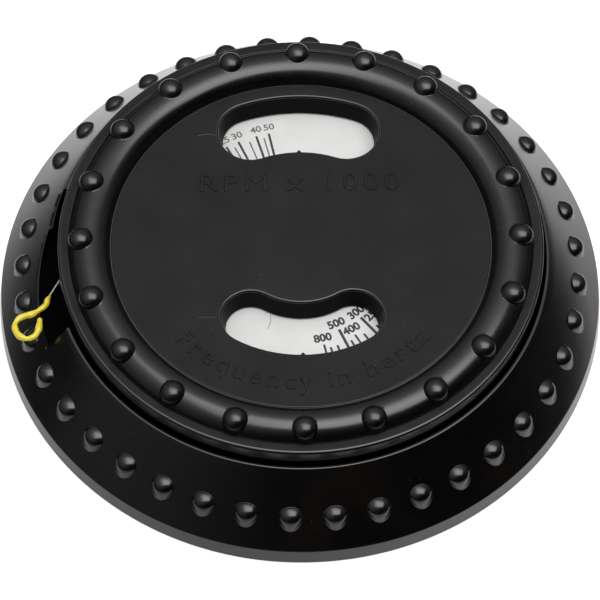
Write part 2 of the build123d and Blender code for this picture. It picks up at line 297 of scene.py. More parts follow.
def strip(start, way, first, last, width):
    """Outline of a straight strip in plan, between two distances along its way."""
    start, way = np.array(start), np.array(way)
    half = np.array([-way[1], way[0]]) * width / 2
    return [tuple(start + way * first - half), tuple(start + way * last - half),
            tuple(start + way * last + half), tuple(start + way * first + half)]


def unit(vectors):
    """Rows of an array, each scaled to length one."""
    return vectors / np.linalg.norm(vectors, axis=1)[:, None]


def new_object(name, points, faces):
    """Mesh object from points in millimetres."""
    mesh = bpy.data.meshes.new(name)
    mesh.from_pydata([tuple(float(c) * MM for c in p) for p in points], [], [tuple(f) for f in faces])
    mesh.validate()
    mesh.update()
    item = bpy.data.objects.new(name, mesh)
    bpy.context.scene.collection.objects.link(item)
    return item


def dress(item, *materials):
    """Gives a piece its materials, in place of any that it has."""
    item.data.materials.clear()
    for material in materials:
        item.data.materials.append(material)


def join(parts):
    """Points and faces of several meshes as one."""
    points, faces = [], []
    for part_points, part_faces in parts:
        faces += [tuple(v + len(points) for v in f) for f in part_faces]
        points += part_points
    return points, faces


def rounded(corners, steps=5):
    """Section outline from (x, y, corner radius) points, each corner rounded by a circular arc."""
    count = len(corners)
    out = []
    for i, (x, y, radius) in enumerate(corners):
        here = np.array([x, y], float)
        if radius <= 0:
            out.append(tuple(here))
            continue
        before = np.array(corners[i - 1][:2], float) - here
        after = np.array(corners[(i + 1) % count][:2], float) - here
        before /= np.linalg.norm(before)
        after /= np.linalg.norm(after)
        half = math.acos(max(-1, min(1, float(before @ after)))) / 2
        run = radius / math.tan(half)
        middle = before + after
        middle /= np.linalg.norm(middle)
        centre = here + middle * radius / math.sin(half)
        first = here + before * run - centre
        last = here + after * run - centre
        turn = math.atan2(first[0] * last[1] - first[1] * last[0], float(first @ last))
        for k in range(steps + 1):
            a = turn * k / steps
            out.append((centre[0] + first[0] * math.cos(a) - first[1] * math.sin(a),
                        centre[1] + first[0] * math.sin(a) + first[1] * math.cos(a)))
    return out


def ring_faces(rows, columns, start=0):
    """Quads between the closed rings of a grid stored row by row."""
    faces = []
    for r in range(rows - 1):
        low = start + r * columns
        high = low + columns
        for c in range(columns):
            d = (c + 1) % columns
            faces.append((low + c, low + d, high + d, high + c))
    return faces


def fan_rings(columns):
    """Points and faces of a surface from columns of points that all start at one shared point."""
    count, rows = len(columns), len(columns[0])
    points = [columns[0][0]] + [column[row] for row in range(1, rows) for column in columns]
    faces = [(0, 1 + c, 1 + (c + 1) % count) for c in range(count)]
    return points, faces + ring_faces(rows - 1, count, start=1)


def lathe(name, section, around):
    """Closed turned mesh from a section outline; points on the axis close it with fans."""
    points, faces = [], []
    rows = []
    angles = [2 * math.pi * k / around for k in range(around)]
    for x, y in section:
        if x < SAME:
            rows.append([len(points)] * around)
            points.append((0, 0, y))
        else:
            rows.append(list(range(len(points), len(points) + around)))
            points += [(x * math.cos(a), x * math.sin(a), y) for a in angles]
    for r, low in enumerate(rows):
        high = rows[(r + 1) % len(rows)]
        if low[0] == low[1] and high[0] == high[1]:
            continue
        for c in range(around):
            d = (c + 1) % around
            quad = [low[c], low[d], high[d], high[c]]
            faces.append([v for i, v in enumerate(quad) if v != quad[i - 1]])
    return new_object(name, points, faces)


def prism(name, outlines, heights):
    """Closed mesh through outlines of equal count, one at each height; a height may vary per point."""
    points = []
    count = len(outlines[0])
    for outline, height in zip(outlines, heights):
        level = height if hasattr(height, "__len__") else [height] * count
        points += [(x, y, z) for (x, y), z in zip(outline, level)]
    faces = ring_faces(len(outlines), count)
    faces.append(tuple(reversed(range(count))))
    faces.append(tuple(range((len(outlines) - 1) * count, len(outlines) * count)))
    return new_object(name, points, faces)


def tidy_mesh(item, distance=1e-7):
    """Welds points closer than a distance in metres and turns all normals outwards."""
    work = bmesh.new()
    work.from_mesh(item.data)
    bmesh.ops.remove_doubles(work, verts=work.verts, dist=distance)
    bmesh.ops.recalc_face_normals(work, faces=work.faces)
    work.to_mesh(item.data)
    work.free()
    item.data.update()


def combine(item, tool, operation):
    """Boolean of two closed meshes, baked into the first; the tool is used up."""
    tidy_mesh(tool)
    before = item.data
    step = item.modifiers.new("combine", "BOOLEAN")
    step.object = tool
    step.operation = operation
    step.solver = "MANIFOLD"
    graph = bpy.context.evaluated_depsgraph_get()
    baked = bpy.data.meshes.new_from_object(item.evaluated_get(graph))
    item.modifiers.clear()
    item.data = baked
    if len(baked.polygons) in (0, len(before.polygons)):
        raise RuntimeError("nothing changed: " + item.name)
    bpy.data.meshes.remove(before)
    bpy.data.objects.remove(tool)


def cut(item, name, outline, low, high):
    """Takes an upright prism out of a closed mesh."""
    combine(item, prism(name, [outline, outline], [low, high]), "DIFFERENCE")


def finish_mesh(item, angle=38.0):
    """Smooth shading that stops at real edges, with flat faces kept flat."""
    for face in item.data.polygons:
        face.use_smooth = True
    item.data.set_sharp_from_angle(angle=math.radians(angle))
    normal = item.modifiers.new("normals", "WEIGHTED_NORMAL")
    normal.keep_sharp = True
    normal.weight = 60


def kidney(inner, width, half, middle, grow=0.0, ends=24, along=72):
    """Kidney outline round the axis, widened all round by grow."""
    spine, radius = inner + width / 2, width / 2 + grow
    first, last = middle - half, middle + half

    def round_end(side, start):
        """Points between the two ends of the half circle at one side."""
        cx, cy = polar(spine, side)
        rays = [polar(radius, start + 180 * k / ends) for k in range(1, ends)]
        return [(cx + x, cy + y) for x, y in rays]

    outer = [polar(spine + radius, first + 2 * half * k / along) for k in range(along + 1)]
    back = [polar(spine - radius, last - 2 * half * k / along) for k in range(along + 1)]
    return outer + round_end(last, last) + back + round_end(first, first + 180)


def bead_height(rho, wide_r, rise, draft, centre_z):
    """Height of a bead's surface at a distance from its axis: a flattened top on a drafted foot."""
    dome = centre_z + rise * np.sqrt(np.maximum(1 - (rho / wide_r) ** 2, 0))
    foot = centre_z - (rho - wide_r) / math.tan(math.radians(draft))
    return np.where(rho < wide_r, dome, foot)


def soft_max(a, b, k):
    """Larger of two heights with a rounded inner corner."""
    h = np.maximum(k - np.abs(a - b), 0) / k
    return np.maximum(a, b) + h * h * k / 4


def spread(rho, z, rows):
    """Distances along a curve in even steps of length, closer where it bends."""
    step = np.hypot(np.diff(rho), np.diff(z))
    heading = np.unwrap(np.arctan2(np.diff(z), np.diff(rho)))
    bend = np.abs(np.gradient(heading))
    weight = np.concatenate([[0], np.cumsum(step + BEND_WEIGHT * bend)])
    return np.interp(np.linspace(0, weight[-1], rows), weight, rho)


# Where the wire leaves its circle, and its way from there
exit_point = Vector((*polar(WIRE_R, EXIT_ANGLE), WIRE_Z))
exit_way = Vector((*polar(1, EXIT_ANGLE + 90), 0))


# Base
def flank_z(radius):
    """Height of the base's sloping flank."""
    return LIP_Z - (LIP_Z - RIM_H) * (radius - LIP_R) / (RIM_TOP_R - LIP_R)


def bead_cell(index):
    """Points and faces of the piece of flank that carries one bead."""
    middle = BASE_TURN + 360 * index / BASE_BEADS
    half = 180 / BASE_BEADS
    side = AROUND // BASE_BEADS
    inner, outer = BASE_RING_R - BEAD_BAND, BASE_RING_R + BEAD_BAND
    first, last = middle - half, middle + half
    corners = [(inner, first), (inner, last), (outer, last), (outer, first)]
    border = []
    for (r1, a1), (r2, a2) in zip(corners, corners[1:] + corners[:1]):
        border += [np.array(polar(r1 + (r2 - r1) * k / side, a1 + (a2 - a1) * k / side)) for k in range(side)]
    centre = np.array(polar(BASE_RING_R, middle))
    top = flank_z(BASE_RING_R) - BASE_BEAD_SINK
    columns = []
    for end in border:
        reach = np.linalg.norm(end - centre)
        rho = np.linspace(0, reach, BEAD_SAMPLES)
        way = (end - centre) / reach
        radius = np.hypot(centre[0] + rho * way[0], centre[1] + rho * way[1])
        ground = flank_z(radius)
        downhill = (1 + float(way @ centre) / BASE_RING_R) / 2
        blend = CREASE_BLEND + (FOOT_BLEND - CREASE_BLEND) * downhill ** 2
        bead = bead_height(rho, BASE_BEAD_R, BASE_BEAD_RISE, BASE_DRAFT, top)
        crease = rho[np.argmax(bead < ground)]
        z = soft_max(bead, ground, blend)
        z[-1] = ground[-1]
        at = np.concatenate([BEAD_STEPS * crease, crease + (reach - crease) * FLANK_STEPS])
        columns.append([(centre[0] + r * way[0], centre[1] + r * way[1], np.interp(r, rho, z)) for r in at])
    return fan_rings(columns)


def base_shell():
    """Turned base without its band of beads, as points and faces."""
    inner, outer = BASE_RING_R - BEAD_BAND, BASE_RING_R + BEAD_BAND
    outline = rounded([
        (STEM_BORE_R, WELL_Z, 0.12), (WELL_R, WELL_Z, 0.12), (WELL_R, RECESS_Z, 0.15),
        (BASE_R - FOOT_W, RECESS_Z, 0.2), (BASE_R - FOOT_W, 0, 0.2), (BASE_R, 0, 0.22),
        (RIM_TOP_R, RIM_H, 0.3), (LIP_R, LIP_Z, 0.22), (BORE_R, LIP_Z, 0.1),
        (BORE_R, LAND_Z, 0.1), (LAND_IN, LAND_Z, 0.08), (LAND_IN, FLOOR_Z, 0.1),
        (SCALE_R, FLOOR_Z, 0.1), (SCALE_R, SEAT_Z, 0.08), (STEM_BORE_R, SEAT_Z, 0.15)])
    rows = []
    for x, y in outline:
        rows.append((x, y))
        if x > outer and abs(y - flank_z(x)) < SAME:
            rows += [(outer, flank_z(outer)), (inner, flank_z(inner))]
    offset = math.radians(BASE_TURN - 180 / BASE_BEADS)
    angles = [offset + 2 * math.pi * k / AROUND for k in range(AROUND)]
    points = [(x * math.cos(a), x * math.sin(a), y) for x, y in rows for a in angles]
    faces = []
    for r, row in enumerate(rows):
        after = (r + 1) % len(rows)
        if (row[0], rows[after][0]) == (outer, inner):
            continue
        low, high = r * AROUND, after * AROUND
        for k in range(AROUND):
            d = (k + 1) % AROUND
            faces.append((low + k, low + d, high + d, high + k))
    return points, faces


def slot_cutter():
    """Space that the wire comes out through, with a small bevel where it breaks the surface."""
    middle = (SLOT_STEP + SLOT_END) / 2
    before_step = SLOT_STEP - SLOT_STEP_RUN
    wall = [(SLOT_START + (before_step - SLOT_START) * k / 12, LIP_R + SLOT_LIP_CUT) for k in range(13)]
    bend = np.polyfit([SLOT_STEP, middle, SLOT_END], [LIP_R + out for out in SLOT_OUT], 2)
    wall += [(a, float(np.polyval(bend, a))) for a in np.linspace(SLOT_STEP, SLOT_END, 40)]
    back = [(a, SLOT_IN) for a in np.linspace(SLOT_END, SLOT_START, 60)]
    flat = np.array([polar(r, a) for a, r in wall + back])
    ahead = unit(np.roll(flat, -1, axis=0) - flat)
    behind = unit(flat - np.roll(flat, 1, axis=0))
    tangent = unit(ahead + behind)
    normal = np.stack([tangent[:, 1], -tangent[:, 0]], axis=1)
    flared = flat + normal * SLOT_BEVEL

    def surface(points):
        """Height of the base's outside above points in plan."""
        radius = np.hypot(points[:, 0], points[:, 1])
        return np.where(radius < LIP_R, LIP_Z, flank_z(radius))

    low = np.minimum(surface(flat) - SLOT_BEVEL, LIP_Z - SLOT_BEVEL)
    levels = [SLOT_Z, np.maximum(low, SLOT_Z + 0.05), surface(flared) + 0.001, LIP_Z + 2.0]
    return prism("slot", [flat, flat, flared, flared], levels)


def make_base():
    """Base moulding: beaded flank, upright rim, lip, inside floor, channel, slot and underside."""
    cells = [bead_cell(index) for index in range(BASE_BEADS)]
    base = new_object("base_moulding", *join([base_shell()] + cells))
    tidy_mesh(base, 2e-6)
    combine(base, slot_cutter(), "DIFFERENCE")
    start, way = exit_point[:2], exit_way[:2]
    channel = strip(start, way, 0, GUIDE_START + CHANNEL_OVER, CHANNEL_W)
    cut(base, "channel", channel, FLOOR_Z + CHANNEL_LIFT, LAND_Z + 1)
    pocket = strip(start, way, GUIDE_START, GUIDE_START + GUIDE_L, GUIDE_W)
    cut(base, "pocket", pocket, FLOOR_Z - GUIDE_BELOW, LAND_Z + 1)
    seat = circle(STOP_PIN_R + SEAT_GAP, 48, polar(STOP_R, STOP_ANGLE))
    cut(base, "seat", seat, SEAT_Z - STOP_PIN_DEPTH, SEAT_Z + 1)
    finish_mesh(base)
    return base


# Cap
def circle_through(a, b, c):
    """Centre and radius of the circle through three points."""
    (x1, y1), (x2, y2), (x3, y3) = a, b, c
    s1, s2, s3 = x1 ** 2 + y1 ** 2, x2 ** 2 + y2 ** 2, x3 ** 2 + y3 ** 2
    d = 2 * (x1 * (y2 - y3) + x2 * (y3 - y1) + x3 * (y1 - y2))
    ux = (s1 * (y2 - y3) + s2 * (y3 - y1) + s3 * (y1 - y2)) / d
    uy = (s1 * (x3 - x2) + s2 * (x1 - x3) + s3 * (x2 - x1)) / d
    return ux, uy, math.hypot(x1 - ux, y1 - uy)


def rim_circle(quirk):
    """Centre and radius of the rim's round section."""
    return circle_through((RIM_IN, FACE_Z - FACE_STEP), (CREST_R, CREST_Z), (RIM_OUT, LEDGE_Z - quirk))


def rim_z(radius):
    """Height of the cap's top side outside its windows, as the beads meet it."""
    centre_r, centre_z, size = rim_circle(BEAD_QUIRK)
    arc = centre_z + np.sqrt(np.maximum(size ** 2 - (radius - centre_r) ** 2, 0))
    outwards = np.where(radius < RIM_OUT, arc, LEDGE_Z)
    return np.where(radius > RIM_IN, outwards, FACE_Z - FACE_STEP)


def cap_bead(middle):
    """Closed mesh of one grip bead of the cap, its foot flared into the rim."""
    cx, cy = polar(CAP_RING_R, middle)
    rho = np.linspace(0, CAP_BEAD_REACH, CAP_BEAD_SAMPLES)
    bead = bead_height(rho, CAP_BEAD_R, CAP_BEAD_RISE, CAP_DRAFT, CAP_BEAD_Z)
    columns = []
    for c in range(CAP_BEAD_COLUMNS):
        a = 2 * math.pi * c / CAP_BEAD_COLUMNS
        radius = np.hypot(cx + rho * math.cos(a), cy + rho * math.sin(a))
        ground = rim_z(radius) - CAP_FOOT_SINK
        z = soft_max(bead, ground, CAP_FOOT_BLEND)
        end = np.argmax(bead < ground - CAP_FOOT_BLEND) + 1
        at = spread(rho[:end], z[:end], CAP_BEAD_ROWS)
        column = [(cx + r * math.cos(a), cy + r * math.sin(a), np.interp(r, rho, z)) for r in at]
        columns.append(column + [(*column[-1][:2], CAP_BEAD_ROOT)])
    points, faces = fan_rings(columns)
    faces.append(tuple(range(len(points) - CAP_BEAD_COLUMNS, len(points))))
    return points, faces


def cap_body():
    """Turned cap with its sunk face, round rim, ledge, skirt and stem."""
    centre_r, centre_z, size = rim_circle(RIM_QUIRK)
    first = math.atan2(LEDGE_Z - RIM_QUIRK - centre_z, RIM_OUT - centre_r)
    last = math.atan2(FACE_Z - FACE_STEP - centre_z, RIM_IN - centre_r)
    sweep = [first + (last - first) * k / RIM_STEPS for k in range(RIM_STEPS + 1)]
    rim = [(centre_r + size * math.cos(a), centre_z + size * math.sin(a)) for a in sweep]
    outside = rounded([
        (0, STEM_Z, 0), (STEM_R, STEM_Z, 0.2), (STEM_R, CAP_UNDER, 0.1), (STEP_R, CAP_UNDER, 0.1),
        (STEP_R, SKIRT_Z, 0.1), (SKIRT_R, SKIRT_Z, 0.12), (SKIRT_R, LEDGE_Z, 0.34),
        (RIM_OUT + RIM_QUIRK, LEDGE_Z, 0.06), (RIM_OUT, LEDGE_Z - RIM_QUIRK, 0)])
    face = rounded([
        (RIM_IN, FACE_Z - FACE_STEP, 0), (FACE_R, FACE_Z - FACE_STEP, 0.04), (FACE_R, FACE_Z, 0.08),
        (0, FACE_Z, 0)])
    return lathe("cap_moulding", outside[:-1] + rim + face[1:], AROUND)


def cut_window(cap, window):
    """Cuts a kidney window with drafted walls and a rounded mouth."""
    deep = FACE_Z - MOUTH_R - CAP_UNDER + 1
    draft = math.tan(math.radians(WINDOW_DRAFT))
    levels = [(-MOUTH_R - draft * deep, CAP_UNDER - 1), (-MOUTH_R, FACE_Z - MOUTH_R)]
    for k in range(1, MOUTH_STEPS + 1):
        a = math.pi / 2 * k / MOUTH_STEPS
        levels.append((-MOUTH_R * math.cos(a), FACE_Z - MOUTH_R + MOUTH_R * math.sin(a)))
    levels.append((levels[-1][0], FACE_Z + 1))
    outlines = [kidney(*window, grow=grow) for grow, height in levels]
    combine(cap, prism("window", outlines, [height for grow, height in levels]), "DIFFERENCE")


def pointer(radius, middle, out):
    """Small pointer on a window's edge, its top edges eased; out is 1 or -1."""
    root, tip = -POINTER_ROOT * out, POINTER_TIP * out

    def arrow(root_half, half, end, end_half):
        """Outline of the pointer at one level, at its place on the window's edge."""
        points = [(root, -root_half), (0, -half), (end, -end_half), (end, end_half), (0, half),
                  (root, root_half)]
        return [rotate(radius + x, y, middle) for x, y in points][::out]

    flat = arrow(POINTER_HALF * 1.3, POINTER_HALF, tip, 0.04)
    small = arrow(POINTER_HALF * 1.2, POINTER_HALF * 0.82, tip * 0.84, 0.02)
    top = FACE_Z - MOUTH_R
    return prism("pointer", [flat, flat, small], [top - POINTER_T, top - POINTER_EASE, top])


def make_cap():
    """Dial cap in one moulding: turned body, beads, windows with pointers, groove and bores."""
    cap = cap_body()
    tidy_mesh(cap)
    beads = [cap_bead(CAP_TURN + 360 * index / CAP_BEADS) for index in range(CAP_BEADS)]
    combine(cap, new_object("beads", *join(beads)), "UNION")
    cut_window(cap, RPM_WINDOW)
    cut_window(cap, HERTZ_WINDOW)
    combine(cap, pointer(RPM_POINTER_R, NORTH, 1), "UNION")
    combine(cap, pointer(HERTZ_POINTER_R, SOUTH, -1), "UNION")
    half_pin = STOP_PIN_R + STOP_GAP
    groove = kidney(STOP_R - half_pin, 2 * half_pin, TRAVEL / 2, STOP_ANGLE - TRAVEL / 2, along=200, ends=16)
    cut(cap, "groove", groove, CAP_UNDER - 0.5, CAP_UNDER + GROOVE_DEPTH)
    cut(cap, "bore", circle(INSERT_BORE_R, 60), STEM_Z - 1, STEM_Z + INSERT_DEPTH)
    cut(cap, "pilot", circle(PILOT_R, 48), STEM_Z - 1, STEM_Z + PILOT_DEPTH)
    hook = circle(HOOK_BORE_R, 24, polar(WIRE_R, EXIT_ANGLE - WOUND_ANGLE))
    cut(cap, "hook", hook, SKIRT_Z - 0.5, WIRE_Z + HOOK_H)
    finish_mesh(cap)
    return cap


# Print and raised words
def text_mesh(text, **settings):
    """Points and faces of a text in Blender's own font, centred across."""
    curve = bpy.data.curves.new("text", "FONT")
    curve.body = text
    curve.align_x = "CENTER"
    for key, value in settings.items():
        setattr(curve, key, value)
    holder = bpy.data.objects.new("text", curve)
    bpy.context.scene.collection.objects.link(holder)
    graph = bpy.context.evaluated_depsgraph_get()
    mesh = bpy.data.meshes.new_from_object(holder.evaluated_get(graph))
    bpy.data.objects.remove(holder)
    points = np.array([v.co for v in mesh.vertices])
    faces = [tuple(p.vertices) for p in mesh.polygons]
    bpy.data.meshes.remove(mesh)
    return points, faces


def mark_angle(thousands):
    """Angle of a mark from its pointer: the wire's free length goes with one over the speed's root."""
    return PRINT_FIRST + PRINT_SPAN * (1 / math.sqrt(thousands) - 1 / math.sqrt(FASTEST))


def hertz_angle(hertz):
    """Angle of a frequency mark about the axis."""
    return SOUTH + mark_angle(THOUSANDS_PER_HERTZ * hertz)


def tick(angle, low, high, width):
    """Radial ink line about the print's centre."""
    return strip(PRINT_CENTRE, polar(1, angle), low, high, width)


def printed(name, outlines, material):
    """Thin ink shapes on the scale, as one piece."""
    points, faces = [], []
    for corners in outlines:
        n, start = len(corners), len(points)
        points += [(x, y, PRINT_Z) for x, y in corners]
        points += [(x, y, PRINT_ROOT) for x, y in corners]
        faces.append(tuple(start + k for k in range(n)))
        faces.append(tuple(start + n + k for k in reversed(range(n))))
        for k in range(n):
            d = (k + 1) % n
            faces.append((start + k, start + n + k, start + n + d, start + d))
    item = new_object(name, points, faces)
    tidy_mesh(item, 1e-9)
    dress(item, material)
    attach(item, "base")


def number(text, radius, angle, height, inward, stretch, weight):
    """Flat mesh of a number, its middle at a radius and an angle about the axis."""
    co, faces = text_mesh(text, align_y="CENTER", size=1.0, fill_mode="BOTH", offset=weight)
    co = co[:, :2]
    low, high = co.min(0), co.max(0)
    co = (co - (low + high) / 2) * height / (high[1] - low[1])
    co[:, 0] *= stretch
    x, y = rotate(co[:, 0], co[:, 1], angle + 90 if inward else angle - 90)
    cx, cy = polar(radius, angle)
    return [(px + cx, py + cy, PRINT_Z) for px, py in zip(x, y)], faces


def numbers(name, rows, material):
    """Printed numbers as one flat piece."""
    item = new_object(name, *join([number(*row) for row in rows]))
    dress(item, material)
    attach(item, "base")


def print_scale():
    """Marks and numbers of both rows."""
    printed("rpm_marks", [tick(NORTH + mark_angle(n), PRINT_RING, RPM_LONG, RPM_LONG_W) for n in RPM_MAJOR],
            ink_dark)
    printed("rpm_part_marks",
            [tick(NORTH + mark_angle(n), PRINT_RING, RPM_SHORT, RPM_SHORT_W) for n in RPM_MINOR], ink_grey)
    ticks = []
    for hertz, low in HERTZ:
        width = HERTZ_LONG_W if low < HERTZ_LONG_LIMIT else HERTZ_SHORT_W
        ticks.append(tick(hertz_angle(hertz), low, PRINT_RING, width))
    printed("hertz_marks", ticks, ink_dark)
    rpm_rows = [(f"{n:g}", RPM_TEXT_R, NORTH + mark_angle(n) - RPM_TEXT_TURN, RPM_TEXT_H, False,
                 RPM_TEXT_STRETCH, RPM_TEXT_WEIGHT) for n in RPM_MAJOR]
    numbers("rpm_numbers", rpm_rows, ink_grey)
    hertz_rows = [(f"{hertz:g}", low - HERTZ_TEXT_GAP, hertz_angle(hertz) - HERTZ_TEXT_TURN, HERTZ_TEXT_H,
                   True, 1.0, HERTZ_TEXT_WEIGHT) for hertz, low in HERTZ if low < HERTZ_TEXT_LIMIT]
    numbers("hertz_numbers", hertz_rows, ink_dark)


def relief(name, text, height, width, place, curved=False):
    """Raised words on the cap's face, in a straight line or along a circle with their feet outwards."""
    co, faces = text_mesh(text, align_y="BOTTOM_BASELINE", resolution_u=3, extrude=0.04, bevel_depth=0.014,
                          bevel_resolution=1, offset=-0.016, space_character=1.25)
    low, high = co.min(0), co.max(0)
    x = (co[:, 0] - (low[0] + high[0]) / 2) * width / (high[0] - low[0])
    y = co[:, 1] * height / (high[1] - max(low[1], 0))
    z = FACE_Z + co[:, 2] / high[2] * RELIEF_H
    if curved:
        radius, middle = place
        turn = math.radians(middle) + x / radius
        reach = radius - (y - height / 2)
        x, y = reach * np.cos(turn), reach * np.sin(turn)
    else:
        x, y = rotate(x + place[0], y - height / 2 + place[1], CAP_TURN)
    item = new_object(name, np.stack([x, y, z], axis=1), faces)
    tidy_mesh(item)
    dress(item, face_black)
    finish_mesh(item, 50)
    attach(item, "dial")


# Materials
def grey_ramp(tree, source, stops):
    """Ramp from one grey to another over a value."""
    node = tree.nodes.new("ShaderNodeValToRGB")
    ramp = node.color_ramp
    while len(ramp.elements) < len(stops):
        ramp.elements.new(0.5)
    for element, (place, value) in zip(ramp.elements, stops):
        element.position = place
        element.color = (value, value, value, 1)
    tree.links.new(source, node.inputs["Fac"])
    return node.outputs["Color"]


class Nodes:
    """Small builder for a procedural material."""

    def __init__(self, name):
        self.material = bpy.data.materials.new(name)
        self.material.use_nodes = True
        self.tree = self.material.node_tree
        self.shader = self.tree.nodes["Principled BSDF"]
        self.coords = self.tree.nodes.new("ShaderNodeTexCoord")

    def add(self, kind, **values):
        """New node with settings of its own."""
        node = self.tree.nodes.new(kind)
        for key, value in values.items():
            setattr(node, key, value)
        return node

    def link(self, source, target):
        """Joins two sockets."""
        self.tree.links.new(source, target)

    def feed(self, target, value):
        """Links a socket to another one, or sets its number or colour."""
        if hasattr(value, "is_linked"):
            self.link(value, target)
        else:
            target.default_value = (*value, 1) if hasattr(value, "__len__") else value

    def mapped(self, scale):
        """Object coordinates scaled."""
        mapping = self.add("ShaderNodeMapping")
        mapping.inputs["Scale"].default_value = scale
        self.link(self.coords.outputs["Object"], mapping.inputs["Vector"])
        return mapping.outputs["Vector"]

    def noise(self, scale, detail=4.0, rough=0.55, vector=None):
        """Noise in object space, its scale per metre."""
        node = self.add("ShaderNodeTexNoise")
        node.inputs["Scale"].default_value = scale
        node.inputs["Detail"].default_value = detail
        node.inputs["Roughness"].default_value = rough
        self.link(vector or self.coords.outputs["Object"], node.inputs["Vector"])
        return node.outputs["Fac"]

    def grey(self, source, stops):
        """Ramp from one number to another."""
        return grey_ramp(self.tree, source, stops)

    def mix(self, factor, a, b):
        """Blend of two colours by a factor; each may be a socket or a value."""
        node = self.add("ShaderNodeMix", data_type="RGBA")
        for index, value in ((0, factor), (6, a), (7, b)):
            self.feed(node.inputs[index], value)
        return node.outputs[2]

    def math(self, operation, a, b):
        """Arithmetic on two values."""
        node = self.add("ShaderNodeMath", operation=operation)
        self.feed(node.inputs[0], a)
        self.feed(node.inputs[1], b)
        return node.outputs[0]

    def bump(self, height, strength, distance):
        """Bump from a height value."""
        node = self.add("ShaderNodeBump")
        node.inputs["Strength"].default_value = strength
        node.inputs["Distance"].default_value = distance
        self.link(height, node.inputs["Height"])
        return node.outputs["Normal"]

    def set(self, **values):
        """Numbers or links on the shader's own sockets."""
        names = {"base": "Base Color", "rough": "Roughness", "metal": "Metallic", "normal": "Normal",
                 "coat": "Coat Weight", "coat_rough": "Coat Roughness", "ior": "IOR",
                 "specular": "Specular IOR Level"}
        for key, value in values.items():
            self.feed(self.shader.inputs[names[key]], value)
        return self.material


def black_moulding(name, rough, base, brown=0.0, scuff=0.5, specular=0.5, grain=0.12):
    """Black thermoset: near black, slightly uneven gloss, fine pits, dust and short scratches."""
    m = Nodes(name)
    dark, worn = (base, base, base * 1.04), (base * 1.5, base * 1.5, base * 1.5)
    brown_tint, dust_tint = (0.016, 0.009, 0.007), (0.35, 0.34, 0.32)
    smear = m.grey(m.noise(160, 3, 0.5), [(0.35, 0.0), (0.7, 1.0)])
    streak = m.grey(m.noise(95, 3, 0.6), [(0.52, 0.0), (0.68, brown)])
    patches = m.grey(m.noise(140, 2, 0.5), [(0.48, 0.1), (0.66, 1.0)])
    dust = m.grey(m.noise(5200, 2, 0.4), [(0.70, 0.0), (0.75, 1.0)])
    specks = m.math("MULTIPLY", dust, patches)
    colour = m.mix(smear, dark, worn)
    colour = m.mix(streak, colour, brown_tint)
    colour = m.mix(m.math("MULTIPLY", specks, 0.35 * scuff), colour, dust_tint)
    gloss = m.math("ADD", m.math("MULTIPLY", m.noise(420, 6, 0.65), 0.16), rough - 0.08)
    gloss = m.math("ADD", gloss, m.math("MULTIPLY", specks, 0.15))
    pits = m.math("MULTIPLY", m.noise(2600, 5, 0.6), 0.5)
    scratches = m.math("MULTIPLY", m.noise(1.0, 2, 0.5, m.mapped((900, 120, 900))), 0.35)
    normal = m.bump(m.math("ADD", pits, scratches), grain, 0.00004)
    return m.set(base=colour, rough=gloss, normal=normal, ior=1.65, specular=specular)


def paper_white():
    """Matt white sheet, faintly uneven, with a little dust."""
    m = Nodes("scale_paper")
    tone = m.grey(m.noise(300, 5, 0.6), [(0.3, 0.0), (0.75, 1.0)])
    colour = m.mix(tone, (0.72, 0.72, 0.705), (0.78, 0.78, 0.77))
    dust = m.grey(m.noise(4200, 2, 0.5), [(0.72, 0.0), (0.78, 1.0)])
    colour = m.mix(m.math("MULTIPLY", dust, 0.5), colour, (0.35, 0.30, 0.25))
    normal = m.bump(m.noise(7000, 3, 0.6), 0.15, 0.00003)
    return m.set(base=colour, rough=0.62, normal=normal)


def ink(name, value):
    """Printed ink, slightly broken up."""
    m = Nodes(name)
    spots = m.grey(m.noise(9000, 3, 0.6), [(0.35, 0.0), (0.8, 1.0)])
    colour = m.mix(spots, (value, value, value), (value * 2 + 0.02,) * 3)
    return m.set(base=colour, rough=m.grey(m.noise(3000), [(0.3, 0.4), (0.7, 0.6)]))


def drawn_metal(name, colour, rough, along=(200, 200, 200)):
    """Bare or plated metal with fine uneven gloss."""
    m = Nodes(name)
    line = m.noise(1.0, 4, 0.6, m.mapped(along))
    tone = m.mix(m.grey(line, [(0.3, 0.0), (0.7, 1.0)]), tuple(c * 0.82 for c in colour), colour)
    gloss = m.math("ADD", m.math("MULTIPLY", line, 0.2), rough - 0.1)
    normal = m.bump(m.noise(6000, 4, 0.6), 0.1, 0.00002)
    return m.set(base=tone, rough=gloss, metal=1.0, normal=normal)


def enamel_yellow():
    """Thick dipped enamel, darker where it has pooled."""
    m = Nodes("yellow_enamel")
    pool = m.grey(m.noise(900, 3, 0.5), [(0.35, 0.0), (0.7, 1.0)])
    colour = m.mix(pool, (0.82, 0.62, 0.02), (0.92, 0.80, 0.07))
    gloss = m.grey(m.noise(1500, 3, 0.5), [(0.3, 0.12), (0.7, 0.3)])
    normal = m.bump(m.noise(1800, 2, 0.4), 0.25, 0.00012)
    return m.set(base=colour, rough=gloss, normal=normal, coat=0.5, coat_rough=0.1)


def base_material(r, z):
    """Index of the base's material at a radius and a height: 1, a glossless near black that paints the shade,
    in the slot and on the floor, else 0.
    """
    slot_out, skin, under_floor = 32.0, 0.35, 7.0
    in_slot = BORE_R - 0.2 < r < slot_out and SLOT_Z - 0.1 < z < min(flank_z(r), LIP_Z) - skin
    on_floor = under_floor < z < LAND_Z + 0.05 and r < BORE_R + 0.1
    return 1 if in_slot or on_floor else 0


